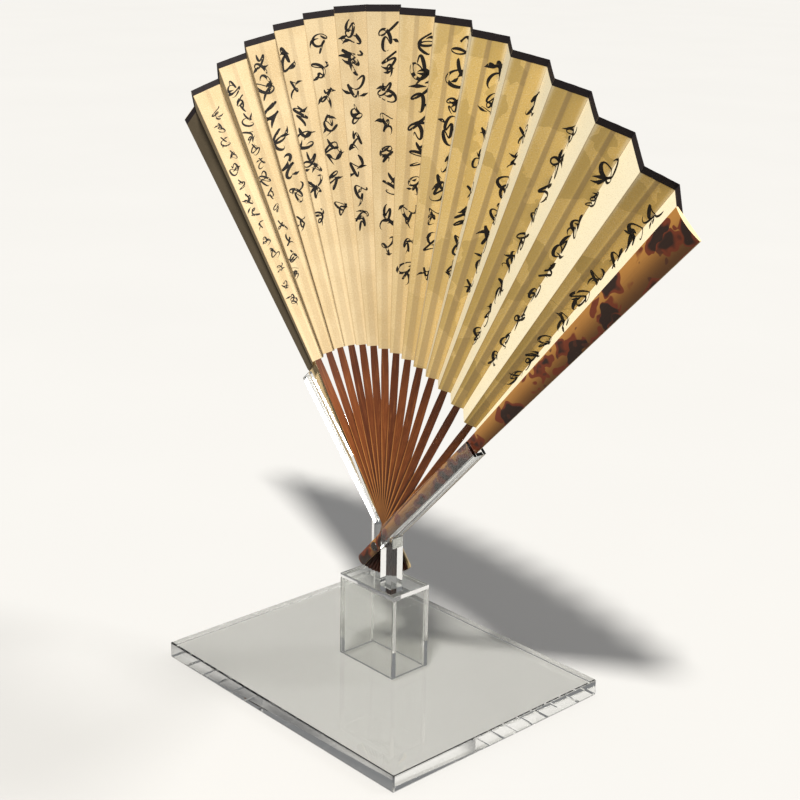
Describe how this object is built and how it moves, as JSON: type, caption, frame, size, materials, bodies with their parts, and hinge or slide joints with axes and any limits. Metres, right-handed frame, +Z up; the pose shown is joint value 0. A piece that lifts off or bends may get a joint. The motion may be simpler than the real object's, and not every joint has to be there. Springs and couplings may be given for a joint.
{
  "type": "folding fan on stand",
  "caption": "Part-open folding fan with slatted ribs, broad guards and a pleated paper leaf, held upright in a clear stand it lifts out of.",
  "frame": {"origin": "middle of the underside of the stand's base plate", "axes": "+X along the plate's long side to the front guard, +Y to the rear, +Z up"},
  "size_m": [0.4225, 0.16, 0.3869],
  "materials": {
    "acrylic": "clear polished acrylic sheet",
    "bamboo": "polished mottled bamboo with dark blotches",
    "rib_wood": "satin red-brown wood",
    "rivet": "black, slightly glossy",
    "leaf_paper": "flecked tan paper with a black edge and abstract brush marks"
  },
  "bodies": {
    "stand": {"base_plate": "acrylic", "pedestal_front": "acrylic", "pedestal_back": "acrylic", "pedestal_left": "acrylic", "pedestal_right": "acrylic", "pedestal_top": "acrylic", "post_front": "acrylic", "post_rear": "acrylic", "channel_front_wall": "acrylic", "channel_front_floor": "acrylic", "channel_front_lip": "acrylic", "channel_rear_wall": "acrylic", "channel_rear_floor": "acrylic", "channel_rear_lip": "acrylic"},
    "fan": {"guard_front": "bamboo", "rivet": "rivet"},
    "arm_14": {"rib_14": "rib_wood", "leaf_panel_14": "leaf_paper", "leaf_fold_15": "leaf_paper"},
    "arm_13": {"rib_13": "rib_wood", "leaf_panel_13": "leaf_paper", "leaf_fold_14": "leaf_paper"},
    "arm_12": {"rib_12": "rib_wood", "leaf_panel_12": "leaf_paper", "leaf_fold_13": "leaf_paper"},
    "arm_11": {"rib_11": "rib_wood", "leaf_panel_11": "leaf_paper", "leaf_fold_12": "leaf_paper"},
    "arm_10": {"rib_10": "rib_wood", "leaf_panel_10": "leaf_paper", "leaf_fold_11": "leaf_paper"},
    "arm_09": {"rib_09": "rib_wood", "leaf_panel_09": "leaf_paper", "leaf_fold_10": "leaf_paper"},
    "arm_08": {"rib_08": "rib_wood", "leaf_panel_08": "leaf_paper", "leaf_fold_09": "leaf_paper"},
    "arm_07": {"rib_07": "rib_wood", "leaf_panel_07": "leaf_paper", "leaf_fold_08": "leaf_paper"},
    "arm_06": {"rib_06": "rib_wood", "leaf_panel_06": "leaf_paper", "leaf_fold_07": "leaf_paper"},
    "arm_05": {"rib_05": "rib_wood", "leaf_panel_05": "leaf_paper", "leaf_fold_06": "leaf_paper"},
    "arm_04": {"rib_04": "rib_wood", "leaf_panel_04": "leaf_paper", "leaf_fold_05": "leaf_paper"},
    "arm_03": {"rib_03": "rib_wood", "leaf_panel_03": "leaf_paper", "leaf_fold_04": "leaf_paper"},
    "arm_02": {"rib_02": "rib_wood", "leaf_panel_02": "leaf_paper", "leaf_fold_03": "leaf_paper"},
    "arm_01": {"rib_01": "rib_wood", "leaf_panel_01": "leaf_paper", "leaf_fold_02": "leaf_paper"},
    "arm_rear": {"guard_rear": "bamboo", "leaf_fold_01": "leaf_paper"}
  },
  "joints": [
    {"name": "fan_lift", "type": "slide", "parent": "stand", "child": "fan", "axis": [0, 0, 1], "range_m": [0, 0.12]},
    {"name": "fold", "type": "hinge", "parent": "fan", "child": "arm_14", "pos_m": [0, 0.003, 0.0848], "axis": [0, 1, 0], "range_deg": [0, 5.3], "deforming": ["leaf_fold_15"]},
    {"name": "fold_13", "type": "hinge", "parent": "arm_14", "child": "arm_13", "pos_m": [0, 0.003, 0.0848], "axis": [0, 1, 0], "range_deg": [0, 6.5], "deforming": ["leaf_fold_14"]},
    {"name": "fold_12", "type": "hinge", "parent": "arm_13", "child": "arm_12", "pos_m": [0, 0.003, 0.0848], "axis": [0, 1, 0], "range_deg": [0, 6.09], "deforming": ["leaf_fold_13"]},
    {"name": "fold_11", "type": "hinge", "parent": "arm_12", "child": "arm_11", "pos_m": [0, 0.003, 0.0848], "axis": [0, 1, 0], "range_deg": [0, 5.76], "deforming": ["leaf_fold_12"]},
    {"name": "fold_10", "type": "hinge", "parent": "arm_11", "child": "arm_10", "pos_m": [0, 0.003, 0.0848], "axis": [0, 1, 0], "range_deg": [0, 5.5], "deforming": ["leaf_fold_11"]},
    {"name": "fold_09", "type": "hinge", "parent": "arm_10", "child": "arm_09", "pos_m": [0, 0.003, 0.0848], "axis": [0, 1, 0], "range_deg": [0, 5.31], "deforming": ["leaf_fold_10"]},
    {"name": "fold_08", "type": "hinge", "parent": "arm_09", "child": "arm_08", "pos_m": [0, 0.003, 0.0848], "axis": [0, 1, 0], "range_deg": [0, 5.2], "deforming": ["leaf_fold_09"]},
    {"name": "fold_07", "type": "hinge", "parent": "arm_08", "child": "arm_07", "pos_m": [0, 0.003, 0.0848], "axis": [0, 1, 0], "range_deg": [0, 5.16], "deforming": ["leaf_fold_08"]},
    {"name": "fold_06", "type": "hinge", "parent": "arm_07", "child": "arm_06", "pos_m": [0, 0.003, 0.0848], "axis": [0, 1, 0], "range_deg": [0, 5.2], "deforming": ["leaf_fold_07"]},
    {"name": "fold_05", "type": "hinge", "parent": "arm_06", "child": "arm_05", "pos_m": [0, 0.003, 0.0848], "axis": [0, 1, 0], "range_deg": [0, 5.31], "deforming": ["leaf_fold_06"]},
    {"name": "fold_04", "type": "hinge", "parent": "arm_05", "child": "arm_04", "pos_m": [0, 0.003, 0.0848], "axis": [0, 1, 0], "range_deg": [0, 5.5], "deforming": ["leaf_fold_05"]},
    {"name": "fold_03", "type": "hinge", "parent": "arm_04", "child": "arm_03", "pos_m": [0, 0.003, 0.0848], "axis": [0, 1, 0], "range_deg": [0, 5.76], "deforming": ["leaf_fold_04"]},
    {"name": "fold_02", "type": "hinge", "parent": "arm_03", "child": "arm_02", "pos_m": [0, 0.003, 0.0848], "axis": [0, 1, 0], "range_deg": [0, 6.09], "deforming": ["leaf_fold_03"]},
    {"name": "fold_01", "type": "hinge", "parent": "arm_02", "child": "arm_01", "pos_m": [0, 0.003, 0.0848], "axis": [0, 1, 0], "range_deg": [0, 6.5], "deforming": ["leaf_fold_02"]},
    {"name": "fold_rear", "type": "hinge", "parent": "arm_01", "child": "arm_rear", "pos_m": [0, 0.003, 0.0848], "axis": [0, 1, 0], "range_deg": [0, 5.82], "deforming": ["leaf_fold_01"]}
  ],
  "couplings": [
    {"joint": "fold_13", "follows": "fold", "ratio": 1.2224},
    {"joint": "fold_12", "follows": "fold", "ratio": 1.1453},
    {"joint": "fold_11", "follows": "fold", "ratio": 1.0822},
    {"joint": "fold_10", "follows": "fold", "ratio": 1.0332},
    {"joint": "fold_09", "follows": "fold", "ratio": 0.99814},
    {"joint": "fold_08", "follows": "fold", "ratio": 0.97711},
    {"joint": "fold_07", "follows": "fold", "ratio": 0.97011},
    {"joint": "fold_06", "follows": "fold", "ratio": 0.97711},
    {"joint": "fold_05", "follows": "fold", "ratio": 0.99814},
    {"joint": "fold_04", "follows": "fold", "ratio": 1.0332},
    {"joint": "fold_03", "follows": "fold", "ratio": 1.0822},
    {"joint": "fold_02", "follows": "fold", "ratio": 1.1453},
    {"joint": "fold_01", "follows": "fold", "ratio": 1.2224},
    {"joint": "fold_rear", "follows": "fold", "ratio": 1.0943}
  ]
}
